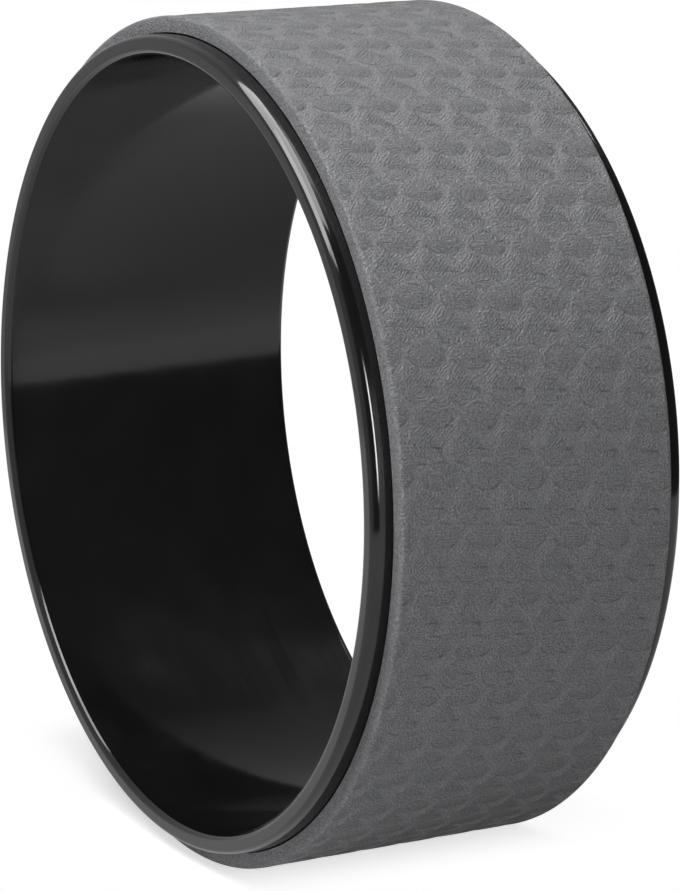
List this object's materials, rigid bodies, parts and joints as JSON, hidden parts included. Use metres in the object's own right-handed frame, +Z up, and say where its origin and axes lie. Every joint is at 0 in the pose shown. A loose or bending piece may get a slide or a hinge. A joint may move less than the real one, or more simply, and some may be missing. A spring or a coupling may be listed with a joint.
{
  "type": "yoga wheel",
  "caption": "Rigid glossy black hoop with a soft grey foam tread bonded round it, for stretching the back and balancing in yoga.",
  "frame": {"origin": "centre of the wheel", "axes": "+Y along the wheel's axis, +Z up, with the wheel standing on its tread"},
  "size_m": [0.3176, 0.1258, 0.3176],
  "materials": {
    "hoop": "glossy moulded black ABS",
    "film": "thin dark double-sided film, dull",
    "foam": "matte closed-cell elastomer foam with a pressed scale pattern"
  },
  "bodies": {
    "root": {"core_hoop": "hoop", "adhesive_film": "film", "foam_tread": "foam"}
  },
  "joints": []
}
